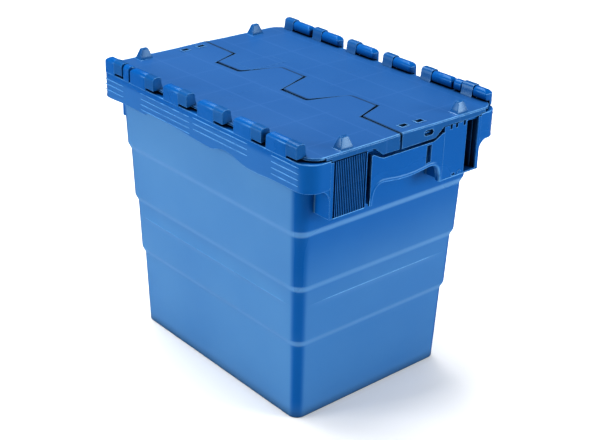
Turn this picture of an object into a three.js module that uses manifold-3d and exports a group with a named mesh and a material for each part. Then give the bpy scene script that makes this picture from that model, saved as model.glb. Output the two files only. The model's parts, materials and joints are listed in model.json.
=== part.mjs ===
import * as THREE from 'three';
import { mergeVertices } from 'three/addons/utils/BufferGeometryUtils.js';
import Module from 'manifold-3d';

const wasm = await Module();
wasm.setup();

// Millimetres. X runs along the long side, Y across it, Z up. The origin is the centre of the base.
// The crate looks the same turned half round about Z, so one end, one hinge side and one lid are
// modelled and then turned.

// rim and skirt
const rimHalfX = 199.8;
const rimHalfY = 149;
const rimCorner = 20;
const rimTop = 349.3;
const rimUnder = 346.3;
const skirtBottom = 315.4;
const skirtThickness = 2.5;

// tapered wall: it leans out by the draft, and steps out by the jump in each sloped band
const baseHalfX = 156.7;
const sideInset = 37;            // the long walls stand this much nearer the middle than the end walls
const wallDraft = 0.032;
const wallJump = 2.72;
const bandHeights = [106.7, 181.8, 253.6];
const bandHalf = 4.5;
const baseEdge = 1.5;
const wallThickness = 2.8;
const floorThickness = 3.2;
const baseCorner = 13;
const wallCornerGrowth = 0.012;  // corner radius gained for each millimetre of height
const footWidth = 14;
const footRecess = 1.2;

// grip housing at each end
const gripFace = 200;
const gripBottom = 280.4;
const gripHalfWidth = 117.5;
const gripTop = 346.7;
const gripDepth = 30;
const faceThickness = 2.5;
const webThickness = 1.8;
const stripWidth = 5;            // plain strip at each side of the housing
const combStart = -112.5;
const combEnd = -64;
const combPitch = 2.55;
const combRib = 1.1;
const combDepth = 2.2;
const labelStart = 57;
const labelEnd = 95;
const labelNotches = [67, 76, 89];
const notchHalfWidth = 1.5;
const notchDepth = 5;
const recessRib = 107.5;
const recessFloor = 2;
const shelfEdge = 196.5;
const endCut = 176;              // at each end the skirt gives way to the housing from here out
const cutHalfWidth = 116.6;
const shelfThickness = 3;
const gussetBottom = 301;

// handle, in the plane of the housing's face
const handleHalfWidth = 57;
const handleTop = 333;
const handleFlat = 40.5;         // half width of the straight part of its top edge
const handleShoulder = 340.2;
const handleLip = 7;
const lipHeight = 3;
const lipSpread = 1.03;
const handGapEdge = [
  [52.5, gripBottom - 1], [51, 290], [47.5, 298], [41, 302.4], [28, 301.1], [14, 299.6],
];
const handGapMiddle = 299;
const tieSlot = { y0: 29, y1: 36.5, z0: 304.5, z1: 329.8 };

// lids
const lidHalfX = 198;
const lidHalfY = 142.6;
const lidCorner = 20;
const lidTop = 354.4;
const lidThickness = 2.8;
const crownStart = -40;          // each lid rises from here to its free edge
const crownSlope = 0.036;
const seamGap = 1.2;
const seamPoints = [
  [-198, 13.8], [-133.2, 12.2], [-118.8, -27], [-73.8, -25.8], [-54.7, 26.4], [-9.5, 26.2],
  [9.5, -26.2], [54.7, -26.4], [73.8, 25.8], [118.8, 27], [133.2, -12.2], [198, -13.8],
];
const flangeOuter = 199.7;
const flangeThickness = 2.5;
const flangeTop = 353.8;
const flangeBottom = 347.5;
const flangeDeep = 338.8;
const flangeDeepHalf = 41;
const flangeSlant = 13;          // run of the slanted end of the deep part
const flangeEndGap = 1.6;        // from the seam line to each flange
const flangeRest = 0.8;          // clearance over the rim's corners
const sealHole = { y: 29.5, z: 346.3, length: 15, height: 7 };
const lidSlots = [[183, 5], [184, 30]];
const lidSlotSize = [7, 11];
const underRibDepth = 5;
const underRibThickness = 1.8;
const underRibLines = { x: [-165, -99, -33, 33, 99, 165], y: [-124, -80, -36] };

// stacking pips
const pipX = 188;
const pipY = 90;
const pipBase = [13, 19];
const pipCrown = [5, 9];
const pipTop = 367.6;
const pipCorner = 1.2;

// hinges on the front long side: where each tub knuckle starts, and where its lid pad starts
const hinges = [
  { knuckle: -186, pad: -164.6 },
  { knuckle: -131, pad: -96.9 },
  { knuckle: -61, pad: -29.2 },
  { knuckle: 6.5, pad: 38.5 },
  { knuckle: 73.5, pad: 106.2 },
  { knuckle: 130, pad: 165.1 },
];
const padWidth = 18;
const hingeGap = 0.5;            // between a knuckle's end and its pad
const hingeAxis = { y: -143.5, z: 362.7 };
const knuckleRadius = 6;
const knuckleNeck = 3.8;
const knuckleRamp = 11;
const knuckleRampDrop = 9;
const padOuter = -151;
const padBottom = 353;
const padTop = 369.4;
const padFoot = -136.5;
const padCrown = 5;
const pinRadius = 2;
const boreClearance = 0.3;
const pinReach = 12;             // how far a pin stands into its pad
const pinInset = 10;             // from a knuckle's start to the blind end of its bore
const stopBlock = { x0: -146, x1: -134 };

// ridges on the skirt of the front long side: where each starts, where it ends, and its height
const ridgePanels = [
  { x0: -190, x1: -148, z: [340, 333, 326] },
  { x0: -108, x1: -10, z: [342, 335, 328, 321] },
  { x0: -2, x1: 98, z: [343.5, 336.5, 329.5] },
  { x0: 140, x1: 184, z: [344, 337, 330, 323] },
];
const ridgeHeight = 1.4;
const ridgeProud = 0.6;

const arcSteps = 5;              // facets in a quarter circle
const roundSides = 14;           // facets round a pin or a bore

function solidOf(geometry) {
  const bare = new THREE.BufferGeometry();
  bare.setAttribute('position', geometry.getAttribute('position').clone());
  if (geometry.index) bare.setIndex(geometry.index.clone());
  const merged = mergeVertices(bare, 1e-4);
  return new wasm.Manifold(new wasm.Mesh({
    numProp: 3,
    vertProperties: Float32Array.from(merged.getAttribute('position').array),
    triVerts: Uint32Array.from(merged.index.array),
  }));
}

function geometryOf(solid) {
  const mesh = solid.getMesh();
  const indexed = new THREE.BufferGeometry();
  const corners = new Float32Array(mesh.numVert * 3);
  for (let i = 0; i < mesh.numVert; i += 1) {
    for (let k = 0; k < 3; k += 1) corners[3 * i + k] = mesh.vertProperties[mesh.numProp * i + k];
  }
  indexed.setAttribute('position', new THREE.BufferAttribute(corners, 3));
  indexed.setIndex(new THREE.BufferAttribute(Uint32Array.from(mesh.triVerts), 1));
  const flat = indexed.toNonIndexed();
  flat.computeVertexNormals();
  return flat;
}

function joined(solids) {
  return solids.reduce((sum, solid) => sum.add(solid));
}

function block(x0, x1, y0, y1, z0, z1) {
  const geometry = new THREE.BoxGeometry(x1 - x0, y1 - y0, z1 - z0);
  geometry.translate((x0 + x1) / 2, (y0 + y1) / 2, (z0 + z1) / 2);
  return solidOf(geometry);
}

// corner points of a rounded rectangle, counterclockwise
function roundedOutline(halfX, halfY, radius, steps = arcSteps) {
  const points = [];
  const corners = [[1, 1], [-1, 1], [-1, -1], [1, -1]];
  corners.forEach(([sx, sy], quarter) => {
    for (let i = 0; i <= steps; i += 1) {
      const angle = (quarter + i / steps) * Math.PI / 2;
      points.push(new THREE.Vector2(
        sx * (halfX - radius) + radius * Math.cos(angle),
        sy * (halfY - radius) + radius * Math.sin(angle),
      ));
    }
  });
  return points;
}

function upright(points, z0, z1) {
  const shape = new THREE.Shape(points);
  const geometry = new THREE.ExtrudeGeometry(shape, { depth: z1 - z0, bevelEnabled: false });
  geometry.translate(0, 0, z0);
  return solidOf(geometry);
}

// a plate whose outline is in Y and Z, from x0 to x1
function plateAlongX(points, x0, x1) {
  const shape = new THREE.Shape(points);
  const geometry = new THREE.ExtrudeGeometry(shape, { depth: x1 - x0, bevelEnabled: false });
  geometry.translate(0, 0, x0);
  geometry.applyMatrix4(new THREE.Matrix4().set(0, 0, 1, 0, 1, 0, 0, 0, 0, 1, 0, 0, 0, 0, 0, 1));
  return solidOf(geometry);
}

// a closed solid through rounded rectangles stacked in Z
function loft(levels) {
  const rings = levels.map(({ z, halfX, halfY, radius }) => roundedOutline(halfX, halfY, radius)
    .map((point) => [point.x, point.y, z]));
  const count = rings[0].length;
  const positions = rings.flat(2);
  const index = [];
  for (let ring = 0; ring + 1 < rings.length; ring += 1) {
    for (let i = 0; i < count; i += 1) {
      const a = ring * count + i;
      const b = ring * count + (i + 1) % count;
      index.push(a, b, b + count, a, b + count, a + count);
    }
  }
  const top = (rings.length - 1) * count;
  for (let i = 1; i + 1 < count; i += 1) {
    index.push(0, i + 1, i);
    index.push(top, top + i, top + i + 1);
  }
  const geometry = new THREE.BufferGeometry();
  geometry.setAttribute('position', new THREE.Float32BufferAttribute(positions, 3));
  geometry.setIndex(index);
  return solidOf(geometry);
}

function rod(x0, x1, y, z, radius) {
  const geometry = new THREE.CylinderGeometry(radius, radius, x1 - x0, roundSides);
  geometry.rotateZ(Math.PI / 2);
  geometry.translate((x0 + x1) / 2, y, z);
  return solidOf(geometry);
}

// the same solid turned half round about Z
function turned(solid) {
  return solidOf(geometryOf(solid).scale(-1, -1, 1));
}

function withTurned(solid) {
  return solid.add(turned(solid));
}

// ---- tub

function halfLengthAt(z) {
  const { clamp } = THREE.MathUtils;
  const steps = bandHeights.map((middle) => clamp((z - middle + bandHalf) / (2 * bandHalf), 0, 1));
  return baseHalfX + wallDraft * z + wallJump * steps.reduce((sum, step) => sum + step);
}

function wallLevels(inward, zFrom, zTo) {
  const bends = bandHeights.flatMap((middle) => [middle - bandHalf, middle + bandHalf]);
  return [zFrom, ...bends, zTo].map((z) => {
    const halfX = halfLengthAt(z) - inward;
    const radius = baseCorner + wallCornerGrowth * z - inward;
    return { z, halfX, halfY: halfX - sideInset, radius };
  });
}

function outerLevels() {
  const levels = wallLevels(0, baseEdge, rimTop);
  const { halfX, halfY, radius } = levels[0];
  const foot = { z: 0, halfX: halfX - baseEdge, halfY: halfY - baseEdge, radius: radius - baseEdge };
  return [foot, ...levels];
}

function skirtRing() {
  const outer = upright(roundedOutline(rimHalfX, rimHalfY, rimCorner), skirtBottom, rimTop);
  const t = skirtThickness;
  const inner = upright(roundedOutline(rimHalfX - t, rimHalfY - t, rimCorner - t), skirtBottom - 1, rimUnder);
  return outer.subtract(inner);
}

function skirtRidges() {
  const half = ridgeHeight / 2;
  const ridges = [];
  for (const { x0, x1, z } of ridgePanels) {
    for (const level of z) {
      ridges.push(block(x0, x1, -rimHalfY - ridgeProud, -rimHalfY + 1, level - half, level + half));
    }
  }
  return joined(ridges);
}

// half of the hand gap's edge, from the foot of the handle's leg to the middle
function handGapPoints(side) {
  return handGapEdge.map(([y, z]) => new THREE.Vector2(side * y, z));
}

function handleOutline() {
  const shoulder = [[handleHalfWidth, handGapEdge[0][1]], [handleHalfWidth, handleShoulder],
    [handleHalfWidth - 2, handleShoulder], [handleFlat, handleTop]];
  const upper = (side) => shoulder.map(([y, z]) => new THREE.Vector2(side * y, z));
  return [
    new THREE.Vector2(0, handGapMiddle),
    ...handGapPoints(1).reverse(),
    ...upper(1),
    ...upper(-1).reverse(),
    ...handGapPoints(-1),
  ];
}

// the rolled lower edge of the handle, a band that follows the hand gap
function handleLipOutline() {
  const under = [...handGapPoints(-1), new THREE.Vector2(0, handGapMiddle), ...handGapPoints(1).reverse()];
  const grown = under.map(({ x, y }) => new THREE.Vector2(x * lipSpread, y + lipHeight));
  return [...under, ...grown.reverse()];
}

// everything here runs past the housing's face, top and bottom, which are then cut flat
function gripEnd() {
  const inside = gripFace - gripDepth;
  const back = gripFace - faceThickness;
  const out = gripFace + 2;
  const over = gripTop + 2;
  const under = gripBottom - 2;
  const half = gripHalfWidth;
  const web = (y, depth) => block(inside, depth, y, y + webThickness, under, over);
  const panel = (y0, y1) => block(back, out, y0, y1, under, over);
  const pieces = [
    block(inside, shelfEdge, 1 - half, half - 1, gripTop - shelfThickness, over),
    web(-half, out),
    web(half - webThickness, out),
    panel(1 - half, combStart),
    panel(half - stripWidth, half - 1),
    panel(labelStart - 1, labelEnd),
    block(back - combDepth, gripFace - combDepth, combStart - 1, combEnd - 1, under, over),
    web(combEnd - webThickness, out),
    web(-handleHalfWidth, out),
    web(handleHalfWidth - webThickness, out),
    web(labelEnd - webThickness, back + 1),
    web(recessRib, back),
    block(inside, out, labelEnd - 1, half - 1, under, gripBottom + recessFloor),
    plateAlongX(handleOutline(), back, out),
    plateAlongX(handleLipOutline(), gripFace - handleLip, out),
  ];
  for (let y = combStart + combPitch; y + combRib < combEnd - webThickness; y += combPitch) {
    pieces.push(block(back - 1, out, y, y + combRib, under, over));
  }
  const notch = (y) => block(
    back - 1,
    out + 1,
    y - notchHalfWidth,
    y + notchHalfWidth,
    gripTop - notchDepth,
    over + 1,
  );
  const slot = block(back - 1, out + 1, tieSlot.y0, tieSlot.y1, tieSlot.z0, tieSlot.z1);
  const trims = [
    block(gripFace, out + 5, -half - 5, half + 5, under - 5, over + 5),
    block(inside - 1, out + 5, -half - 5, half + 5, under - 5, gripBottom),
    block(inside - 1, out + 5, -half - 5, half + 5, gripTop, over + 5),
  ];
  const housing = joined(pieces).subtract(joined([...labelNotches.map(notch), slot, ...trims]));
  return joined([housing, cornerGusset(1), cornerGusset(-1)]);
}

// curved filling between the skirt's lower edge and the side of a grip housing
function cornerGusset(side) {
  const outline = [[gripHalfWidth - 1, gussetBottom]];
  const reach = skirtBottom - gussetBottom - 2;
  for (let i = 0; i <= arcSteps; i += 1) {
    const angle = Math.PI - (i / arcSteps) * Math.PI / 2;
    outline.push([
      gripHalfWidth + reach + reach * Math.cos(angle),
      skirtBottom - reach + reach * Math.sin(angle),
    ]);
  }
  outline.push([gripHalfWidth + reach, skirtBottom + 1], [gripHalfWidth - 1, skirtBottom + 1]);
  const points = outline.map(([y, z]) => new THREE.Vector2(side * y, z));
  return plateAlongX(points, rimHalfX - skirtThickness + 0.3, rimHalfX - 0.3);
}

// cross-section of a tub knuckle: a round head on a neck at its outer side
function knuckleOutline() {
  const { y, z } = hingeAxis;
  const points = [];
  const turns = arcSteps * 3;
  for (let i = 0; i <= turns; i += 1) {
    const angle = Math.PI - (i / turns) * Math.PI * 1.3;
    points.push([y + knuckleRadius * Math.cos(angle), z + knuckleRadius * Math.sin(angle)]);
  }
  points.push([y - knuckleRadius + knuckleNeck, z - knuckleRadius]);
  points.push([y - knuckleRadius + knuckleNeck, rimTop - 1]);
  points.push([y - knuckleRadius, rimTop - 1]);
  return points.map(([a, b]) => new THREE.Vector2(a, b));
}

function frontKnuckles() {
  const { y, z } = hingeAxis;
  const boreRadius = pinRadius + boreClearance;
  const heads = hinges.map(({ knuckle, pad }) => {
    const head = plateAlongX(knuckleOutline(), knuckle, pad - hingeGap);
    const rampPoints = [
      [knuckle - 1, z + knuckleRadius + 1],
      [knuckle - 1, z + knuckleRadius - knuckleRampDrop],
      [knuckle, z + knuckleRadius - knuckleRampDrop],
      [knuckle + knuckleRamp, z + knuckleRadius + 1],
    ];
    const ramp = new THREE.ExtrudeGeometry(
      new THREE.Shape(rampPoints.map(([a, b]) => new THREE.Vector2(a, b))),
      { depth: 2 * knuckleRadius + 2, bevelEnabled: false },
    );
    ramp.rotateX(Math.PI / 2);
    ramp.translate(0, y + knuckleRadius + 1, 0);
    return head.subtract(solidOf(ramp));
  });
  const bores = hinges.map(({ knuckle, pad }) => rod(knuckle + pinInset, pad, y, z, boreRadius));
  const stop = plateAlongX(knuckleOutline(), stopBlock.x0, stopBlock.x1);
  return joined([...heads, stop]).subtract(joined(bores));
}

function makeTub() {
  const outer = loft(outerLevels());
  const cavity = loft(wallLevels(wallThickness, floorThickness, rimTop + 1));
  const half = cutHalfWidth;
  const skirtEnd = block(endCut, gripFace + 1, -half, half, skirtBottom - 1, rimTop + 1);
  const wallEnd = block(gripFace - gripDepth, gripFace, -half, half, gripTop - 0.5, rimTop + 1);
  const recess = upright(roundedOutline(
    baseHalfX - footWidth,
    baseHalfX - sideInset - footWidth,
    baseCorner / 2,
  ), -1, footRecess);
  const skirt = skirtRing().subtract(withTurned(skirtEnd));
  const walls = outer.subtract(withTurned(wallEnd));
  const extras = withTurned(joined([gripEnd(), skirtRidges(), frontKnuckles()]));
  return joined([walls, skirt, extras]).subtract(cavity).subtract(recess);
}

// ---- lids

function shiftedSeam(shift) {
  return seamPoints.map(([x, y]) => new THREE.Vector2(x, y + shift));
}

function frontLidOutline() {
  const corner = (x, quarter) => {
    const points = [];
    for (let i = 0; i <= arcSteps; i += 1) {
      const angle = (quarter + i / arcSteps) * Math.PI / 2;
      points.push(new THREE.Vector2(
        x + lidCorner * Math.cos(angle),
        lidCorner - lidHalfY + lidCorner * Math.sin(angle),
      ));
    }
    return points;
  };
  return [
    ...corner(lidCorner - lidHalfX, 2),
    ...corner(lidHalfX - lidCorner, 3),
    ...shiftedSeam(-seamGap / 2).reverse(),
  ];
}

// a sheet that lies flat from the hinges to the crown line and then rises
function crownedSheet() {
  const reach = 200;
  const under = lidTop - lidThickness;
  const outline = [
    [-reach, under],
    [crownStart, under],
    [crownStart + reach, under + crownSlope * reach],
    [crownStart + reach, lidTop + crownSlope * reach],
    [crownStart, lidTop],
    [-reach, lidTop],
  ];
  return plateAlongX(outline.map(([y, z]) => new THREE.Vector2(y, z)), -reach, reach);
}

function pip(x, y) {
  const level = (z, [sizeX, sizeY]) => ({ z, halfX: sizeX / 2, halfY: sizeY / 2, radius: pipCorner });
  const solid = loft([level(lidTop - 1, pipBase), level(pipTop, pipCrown)]);
  return solid.translate([x, y, 0]);
}

// end flange of the front lid: at +X it stops before the middle, at -X it runs past the middle
function endFlange(side) {
  const last = (side > 0 ? seamPoints.at(-1)[1] : seamPoints[0][1]) - flangeEndGap;
  const outline = [
    [lidCorner - lidHalfY - 1, flangeTop],
    [lidCorner - lidHalfY - 1, rimTop + flangeRest],
    [flangeRest - cutHalfWidth, rimTop + flangeRest],
    [flangeRest - cutHalfWidth, flangeBottom],
    [-flangeDeepHalf - flangeSlant, flangeBottom],
    [-flangeDeepHalf, flangeDeep],
    [last, flangeDeep],
    [last, flangeTop + crownSlope * (last - crownStart)],
    [crownStart, flangeTop],
  ].map(([y, z]) => new THREE.Vector2(y, z));
  const x0 = side > 0 ? flangeOuter - flangeThickness : -flangeOuter;
  return plateAlongX(outline, x0, x0 + flangeThickness);
}

function padOutline() {
  const points = [[padOuter, padBottom]];
  for (let i = 0; i <= arcSteps; i += 1) {
    const angle = Math.PI - (i / arcSteps) * Math.PI / 2;
    points.push([
      padOuter + padCrown + padCrown * Math.cos(angle),
      padTop - padCrown + padCrown * Math.sin(angle),
    ]);
  }
  points.push(
    [hingeAxis.y + 1.5, padTop],
    [hingeAxis.y + 5, padTop - 3],
    [padFoot, lidTop - 0.5],
    [padFoot, padBottom],
  );
  return points.map(([y, z]) => new THREE.Vector2(y, z));
}

// a lattice of ribs under the lid: a slab with pockets between the ribs
function underRibs() {
  const z0 = lidTop - lidThickness - underRibDepth;
  const z1 = lidTop - lidThickness + 0.5;
  const { x, y } = underRibLines;
  const t = underRibThickness / 2;
  const pockets = [];
  for (let i = 0; i + 1 < x.length; i += 1) {
    for (let k = 0; k + 1 < y.length; k += 1) {
      pockets.push(block(x[i] + t, x[i + 1] - t, y[k] + t, y[k + 1] - t, z0 - 1, z1 + 1));
    }
  }
  return block(x[0] - t, x.at(-1) + t, y[0] - t, y.at(-1) + t, z0, z1).subtract(joined(pockets));
}

function makeFrontLid() {
  const { y, z } = hingeAxis;
  const plate = upright(frontLidOutline(), lidTop - 10, lidTop + 10).intersect(crownedSheet());
  const pads = hinges.map(({ pad }) => plateAlongX(padOutline(), pad, pad + padWidth));
  const boreRadius = pinRadius + boreClearance;
  const bores = hinges.map(({ pad }) => rod(pad - 1, pad + pinReach + 1, y, z, boreRadius));
  const [slotX, slotY] = lidSlotSize;
  const slots = lidSlots.map(([cx, cy]) => block(
    -cx - slotX / 2, -cx + slotX / 2, -cy - slotY / 2, -cy + slotY / 2, lidTop - 10, lidTop + 10,
  ));
  const hole = plateAlongX(
    roundedOutline(sealHole.length / 2, sealHole.height / 2, sealHole.height / 2 - 0.2, 4)
      .map((point) => new THREE.Vector2(point.x - sealHole.y, point.y + sealHole.z)),
    -rimHalfX - 1,
    -rimHalfX + 4,
  );
  const pips = [pip(-pipX, -pipY), pip(pipX, -pipY)];
  const flanges = [endFlange(1), endFlange(-1)];
  return joined([plate, ...pads, ...pips, ...flanges, underRibs()])
    .subtract(joined([...bores, ...slots, hole]));
}

// ---- assembly

const tubBlue = { color: 0x2f76bd, roughness: 0.5, metalness: 0 };
const lidBlue = { color: 0x4377bb, roughness: 0.55, metalness: 0 };
const pinBlue = { color: 0x1f5fa8, roughness: 0.45, metalness: 0 };

const group = new THREE.Group();

function place(name, solid, finish) {
  const mesh = new THREE.Mesh(geometryOf(solid), new THREE.MeshStandardMaterial(finish));
  mesh.name = name;
  group.add(mesh);
}

const frontLid = makeFrontLid();
place('tub', makeTub(), tubBlue);
place('front_lid', frontLid, lidBlue);
place('rear_lid', turned(frontLid), lidBlue);

hinges.forEach(({ knuckle, pad }, i) => {
  const pin = rod(knuckle + pinInset + 1, pad + pinReach, hingeAxis.y, hingeAxis.z, pinRadius);
  place(`front_hinge_pin_${i + 1}`, pin, pinBlue);
  place(`rear_hinge_pin_${i + 1}`, turned(pin), pinBlue);
});

export default group;
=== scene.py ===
import bpy
import json
import math
import numpy as np
from mathutils import Matrix, Vector

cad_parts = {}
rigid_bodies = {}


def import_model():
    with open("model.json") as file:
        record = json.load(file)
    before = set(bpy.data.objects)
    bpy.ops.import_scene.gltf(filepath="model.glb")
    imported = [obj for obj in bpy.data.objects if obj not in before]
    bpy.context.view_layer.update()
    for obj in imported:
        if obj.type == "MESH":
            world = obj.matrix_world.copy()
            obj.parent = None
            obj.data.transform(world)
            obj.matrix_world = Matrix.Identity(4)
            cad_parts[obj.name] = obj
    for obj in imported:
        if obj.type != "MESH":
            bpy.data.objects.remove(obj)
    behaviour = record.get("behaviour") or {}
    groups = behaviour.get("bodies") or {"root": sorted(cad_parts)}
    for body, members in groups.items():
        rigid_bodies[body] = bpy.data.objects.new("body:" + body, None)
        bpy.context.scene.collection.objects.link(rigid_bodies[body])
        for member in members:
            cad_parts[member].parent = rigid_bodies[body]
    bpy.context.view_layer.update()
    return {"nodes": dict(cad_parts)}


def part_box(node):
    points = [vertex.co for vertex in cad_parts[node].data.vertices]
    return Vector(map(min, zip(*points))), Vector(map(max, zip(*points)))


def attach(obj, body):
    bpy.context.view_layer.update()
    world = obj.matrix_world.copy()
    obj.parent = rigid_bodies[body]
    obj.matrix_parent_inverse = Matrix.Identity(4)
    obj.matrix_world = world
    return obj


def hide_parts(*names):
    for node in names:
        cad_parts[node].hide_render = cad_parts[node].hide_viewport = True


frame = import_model()

# lengths in this file are in millimetres unless a name says metres; putPiece turns them into metres
mm = 0.001


def cadBoxOf(node):
    low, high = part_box(node)
    return np.array(low) / mm, np.array(high) / mm


pinBoxes = [cadBoxOf(f"front_hinge_pin_{i}") for i in range(1, 7)]
hingeY = float(pinBoxes[0][0][1] + pinBoxes[0][1][1]) / 2
hingeZ = float(pinBoxes[0][0][2] + pinBoxes[0][1][2]) / 2

print("camera and studio")
cameraSettings = {
    "place": (1.05818, -0.90769, 0.83992),   # metres
    "turn": 48.883,                          # degrees, like the next two
    "down": 25.632,
    "roll": 1.503,
    "lens": 72.637,
    "sensor": 36.0,
}
studioSettings = {
    "worldLevel": 0.48,
    "worldInGloss": 0.12,                     # the studio beyond the lights is dim in reflections
    "floorSize": 16.0,                        # metres
    "floorColour": (0.94, 0.94, 0.935, 1),
    "floorInGloss": (0.13, 0.13, 0.13, 1),
    "floorRoughness": 0.9,
    # name: place, what it points at, width and height in metres, watts
    "lights": {
        "leftBox": ((-1.6, -3.3, 0.95), (0, 0, 0.1), 1.5, 1.2, 76),
        "rightBox": ((2.3, 1.7, 0.85), (0, 0, 0.1), 1.2, 1.1, 56),
        "topBox": ((-0.6, 0.0, 2.2), (0, 0, 0.35), 1.6, 1.6, 55),
    },
}

scene = bpy.context.scene
scene.view_settings.view_transform = "Standard"
scene.view_settings.look = "Medium High Contrast"
lens = bpy.data.cameras.new("studioCamera")
lens.lens = cameraSettings["lens"]
lens.sensor_width = cameraSettings["sensor"]
camera = bpy.data.objects.new("studioCamera", lens)
scene.collection.objects.link(camera)
aim = Matrix.Rotation(math.radians(cameraSettings["turn"]), 4, "Z")
aim = aim @ Matrix.Rotation(math.radians(90 - cameraSettings["down"]), 4, "X")
aim = aim @ Matrix.Rotation(math.radians(cameraSettings["roll"]), 4, "Z")
aim.translation = cameraSettings["place"]
camera.matrix_world = aim
scene.camera = camera


def dimInReflections(tree, socket, plain, reflected):
    # The socket gets the plain value, or the reflected one for rays that leave a glossy surface.
    ray = tree.nodes.new("ShaderNodeLightPath")
    mix = tree.nodes.new("ShaderNodeMix")
    first, second, result = 2, 3, 0
    if isinstance(plain, tuple):
        mix.data_type = "RGBA"
        first, second, result = 6, 7, 2
    mix.inputs[first].default_value = plain
    mix.inputs[second].default_value = reflected
    tree.links.new(ray.outputs["Is Glossy Ray"], mix.inputs[0])
    tree.links.new(mix.outputs[result], socket)


world = bpy.data.worlds.new("studioWorld")
world.use_nodes = True
sky = world.node_tree.nodes["Background"]
sky.inputs["Color"].default_value = (1, 1, 1, 1)
dimInReflections(world.node_tree, sky.inputs["Strength"], studioSettings["worldLevel"],
                 studioSettings["worldInGloss"])
scene.world = world

for lightName, (place, target, width, height, watts) in studioSettings["lights"].items():
    light = bpy.data.lights.new(lightName, "AREA")
    light.shape = "RECTANGLE"
    light.size = width
    light.size_y = height
    light.energy = watts
    lamp = bpy.data.objects.new(lightName, light)
    scene.collection.objects.link(lamp)
    lamp.rotation_euler = (Vector(place) - Vector(target)).to_track_quat("Z", "Y").to_euler()
    lamp.location = place


def putPiece(name, points, faces, body, slotName, stands, bevel=0.0, segments=2, smoothTo=35,
             highlightBias=0.0, shade=0.0):
    # Points in millimetres and faces become one closed mesh whose faces point outwards: its signed
    # volume, the sum of a . (b x c) / 6 over its triangles, is made positive.
    points = np.asarray(points, float).reshape(-1, 3)
    mesh = bpy.data.meshes.new(name)
    mesh.from_pydata(points * mm, [], faces)
    mesh.calc_loop_triangles()
    corners = np.zeros(len(mesh.loop_triangles) * 3, np.int32)
    mesh.loop_triangles.foreach_get("vertices", corners)
    a, b, c = points[corners].reshape(-1, 3, 3).transpose(1, 0, 2)
    if np.einsum("ij,ij->", a, np.cross(b, c)) < 0:
        mesh.flip_normals()
    mesh.shade_smooth()
    mesh.set_sharp_from_angle(angle=math.radians(smoothTo))
    # Painted attributes: a bias that adds painted highlight lines to the edge mask, and painted shade.
    for label, values in (("edgeHighlightBias", highlightBias), ("paintedShade", shade)):
        if np.any(values):
            paint = mesh.attributes.new(label, "FLOAT", "POINT")
            paint.data.foreach_set("value", np.broadcast_to(values, len(points)).astype(np.float32))
    piece = bpy.data.objects.new(name, mesh)
    scene.collection.objects.link(piece)
    if bevel:
        edges = piece.modifiers.new("softEdges", "BEVEL")
        edges.width = bevel * mm
        edges.segments = segments
        edges.limit_method = "ANGLE"
        edges.angle_limit = math.radians(smoothTo)
        edges.harden_normals = True
    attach(piece, body)
    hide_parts(stands)
    piece["look"] = slotName


def half(points, side):
    # The same points for one end or one long side: side -1 turns them half round about Z.
    return np.asarray(points, float) * np.array([side, side, 1.0])


def tubeFaces(rows, columns):
    # Quads of a grid whose columns close on themselves: row r, column c joins r+1 and c+1.
    index = np.arange(rows * columns).reshape(rows, columns)
    nextColumn = np.roll(index, -1, axis=1)
    quads = np.stack([index[:-1], nextColumn[:-1], nextColumn[1:], index[1:]], axis=-1)
    return quads.reshape(-1, 4).tolist()


def tube(loops):
    # A closed solid from a stack of equal loops, with a flat end on the first and the last.
    loops = np.asarray(loops, float)
    rows, columns = loops.shape[:2]
    index = np.arange(rows * columns).reshape(rows, columns)
    faces = tubeFaces(rows, columns)
    faces.append(index[0][::-1].tolist())
    faces.append(index[-1].tolist())
    return loops.reshape(-1, 3), faces


def sheetFaces(keep, count):
    # Faces of a slab with holes: the kept cells on the front grid, the same cells turned over on
    # the back grid, and a wall wherever a kept cell has no kept neighbour.
    rows, columns = keep.shape
    index = np.arange(count).reshape(rows + 1, columns + 1)
    a, b, c, d = index[:-1, :-1], index[:-1, 1:], index[1:, 1:], index[1:, :-1]
    front = np.stack([a, b, c, d], -1)[keep]
    faces = [front, front[:, ::-1] + count]
    ring = np.pad(keep, 1)
    for bare, (p, q) in (
        (keep & ~ring[:-2, 1:-1], (a, b)),
        (keep & ~ring[1:-1, 2:], (b, c)),
        (keep & ~ring[2:, 1:-1], (c, d)),
        (keep & ~ring[1:-1, :-2], (d, a)),
    ):
        p, q = p[bare], q[bare]
        faces.append(np.stack([q, p, p + count, q + count], -1))
    return np.concatenate(faces).tolist()


def prism(outline, low, high, axis="x", hole=None, links=None):
    # An outline carried straight along X (outline in Y, Z) or along Z (outline in X, Y). A hole is
    # an inner loop joined to the outline at two pairs of corners, so each end is two faces.
    outline = np.asarray(outline, float)
    loops = [outline] if hole is None else [outline, np.asarray(hole, float)]
    flat = np.concatenate(loops)
    count = len(flat)
    ends = []
    for level in (low, high):
        fill = np.full((count, 1), float(level))
        ends.append(np.hstack([fill, flat] if axis == "x" else [flat, fill]))
    faces = []
    start = 0
    for loop in loops:
        index = start + np.arange(len(loop))
        step = np.roll(index, -1)
        faces += np.stack([index, step, step + count, index + count], -1).tolist()
        start += len(loop)
    if hole is None:
        index = np.arange(count)
        caps = [index]
    else:
        n, m = len(outline), len(hole)
        (a, p), (b, q) = links
        first = [(a + i) % n for i in range((b - a) % n + 1)]
        second = [(b + i) % n for i in range((a - b) % n + 1)]
        backToP = [n + (q - i) % m for i in range((q - p) % m + 1)]
        backToQ = [n + (p - i) % m for i in range((p - q) % m + 1)]
        caps = [np.array(first + backToP), np.array(second + backToQ)]
    for cap in caps:
        faces.append(cap[::-1].tolist())
        faces.append((cap + count).tolist())
    return np.concatenate(ends), faces


def gather(parts):
    # Several solids in one mesh: each one's faces are moved on by the points before them.
    points, faces, start = [], [], 0
    for partPoints, partFaces in parts:
        points.append(partPoints)
        faces += [[i + start for i in face] for face in partFaces]
        start += len(partPoints)
    return np.concatenate(points), faces


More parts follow.
